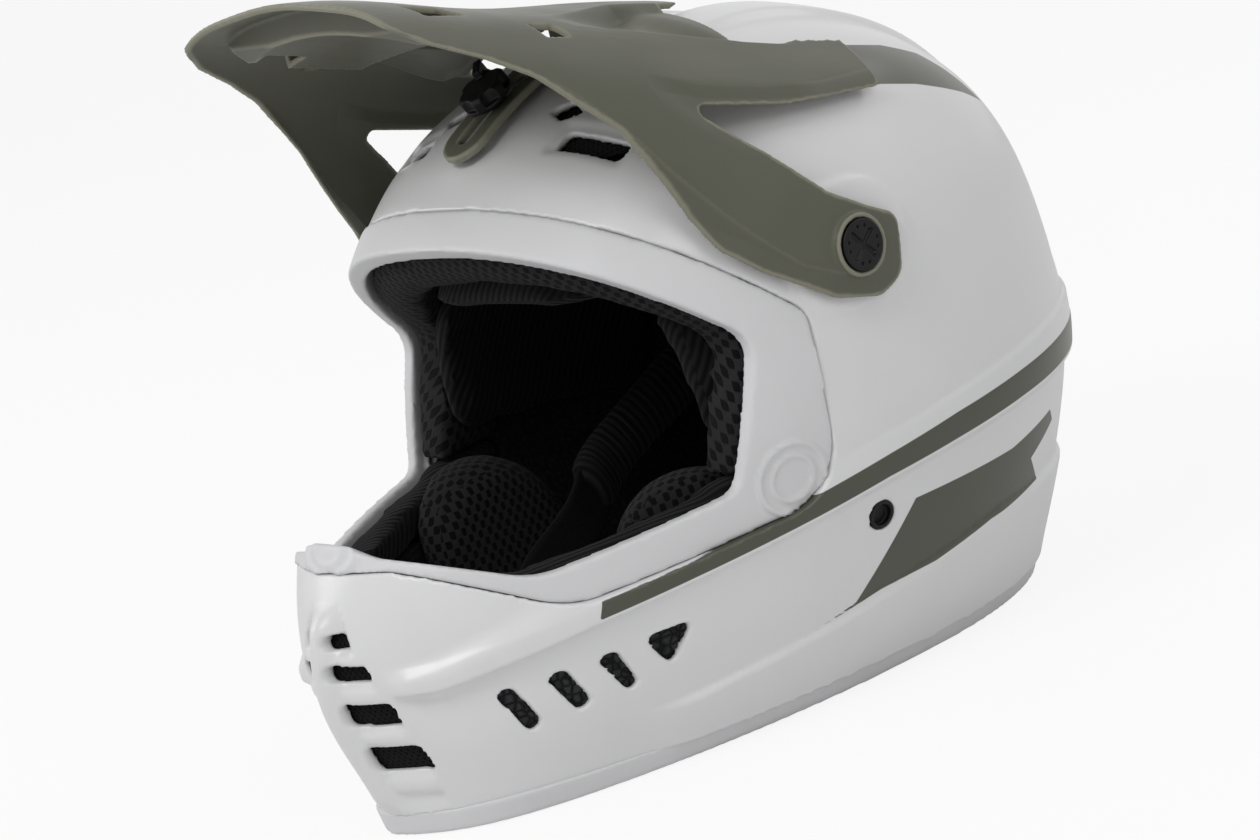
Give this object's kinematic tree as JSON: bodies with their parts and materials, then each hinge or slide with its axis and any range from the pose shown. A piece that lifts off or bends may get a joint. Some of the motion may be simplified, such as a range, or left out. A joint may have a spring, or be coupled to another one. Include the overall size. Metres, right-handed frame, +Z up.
{
  "type": "full face bicycle helmet",
  "caption": "Full face downhill helmet with a chin bar, an eyeport frame, a tilting slotted peak, a padded liner and a ratchet chin strap.",
  "frame": {"origin": "on the plane the rim rests on, at the middle of the length and the width", "axes": "+Z up to the crown, -Y the way the wearer looks, +X the wearer's left, so the left and right halves mirror about X = 0"},
  "size_m": [0.2582, 0.3642, 0.3085],
  "materials": {
    "shell_white": "moulded glass fibre and resin, glossy white paint",
    "trim_grey": "moulded rubbery plastic, satin light grey",
    "visor_olive": "injection moulded plastic, olive grey, satin",
    "black_plastic": "black nylon, satin",
    "foam_black": "expanded polystyrene foam, black",
    "foam_grey": "bubbled grey energy absorbing foam",
    "mesh_black": "woven black filter mesh",
    "spacer_mesh": "coarse black spacer mesh over foam",
    "knit_black": "black ribbed knit over foam",
    "webbing_black": "black polyester webbing",
    "insert_brass": "turned threaded insert",
    "steel": "stamped or turned steel"
  },
  "bodies": {
    "helmet": {"outer_shell": "shell_white", "eyeport_trim": "trim_grey", "bottom_trim": "trim_grey", "crown_foam": "foam_black", "chin_foam": "foam_black", "side_vent_inserts": "foam_grey", "chin_vent_mesh": "mesh_black", "brow_vent_mesh": "mesh_black", "rear_vent_mesh": "mesh_black", "brow_pad": "spacer_mesh", "chin_liner": "knit_black", "crown_pad": "knit_black", "side_pad_left": "knit_black", "side_pad_right": "knit_black", "rear_pad": "knit_black", "cheek_pad_left": "spacer_mesh", "cheek_pad_right": "spacer_mesh", "neck_roll": "knit_black", "centre_insert": "insert_brass", "side_insert_left": "insert_brass", "side_insert_right": "insert_brass", "side_port_plugs": "black_plastic", "snap_studs": "steel", "strap_left": "webbing_black", "strap_right": "webbing_black", "strap_sleeve_left": "knit_black", "strap_sleeve_right": "knit_black", "strap_anchors": "steel", "buckle_housing": "black_plastic", "ladder": "black_plastic", "lever_pin": "steel"},
    "visor": {"visor": "visor_olive"},
    "clamp_washer": {"clamp_washer": "black_plastic"},
    "centre_screw": {"centre_screw": "black_plastic"},
    "side_screw_left": {"side_screw_left": "black_plastic"},
    "side_screw_right": {"side_screw_right": "black_plastic"},
    "release_lever": {"release_lever": "black_plastic"}
  },
  "joints": [
    {"name": "visor_tilt", "type": "hinge", "parent": "helmet", "child": "visor", "pos_m": [0, 0.0133, 0.173], "axis": [1, 0, 0], "range_deg": [-8, 5]},
    {"name": "washer_lift", "type": "slide", "parent": "helmet", "child": "clamp_washer", "axis": [0, -0.5, 0.866], "range_m": [-0.0018, 0.0029]},
    {"name": "centre_screw_turn", "type": "hinge", "parent": "clamp_washer", "child": "centre_screw", "pos_m": [0, -0.0357, 0.243], "axis": [0, -0.5, 0.866], "continuous": true},
    {"name": "side_screw_left_turn", "type": "hinge", "parent": "helmet", "child": "side_screw_left", "pos_m": [0.1281, 0.0133, 0.173], "axis": [1, 0, 0], "continuous": true},
    {"name": "side_screw_right_turn", "type": "hinge", "parent": "helmet", "child": "side_screw_right", "pos_m": [-0.1281, 0.0133, 0.173], "axis": [-1, 0, 0], "continuous": true},
    {"name": "lever_open", "type": "hinge", "parent": "helmet", "child": "release_lever", "pos_m": [0.0124, -0.06819, 0.04455], "axis": [0, -0.3907, 0.9205], "range_deg": [0, 30]}
  ],
  "couplings": [
    {"joint": "washer_lift", "follows": "visor_tilt", "m_per_rad": -0.0206}
  ]
}
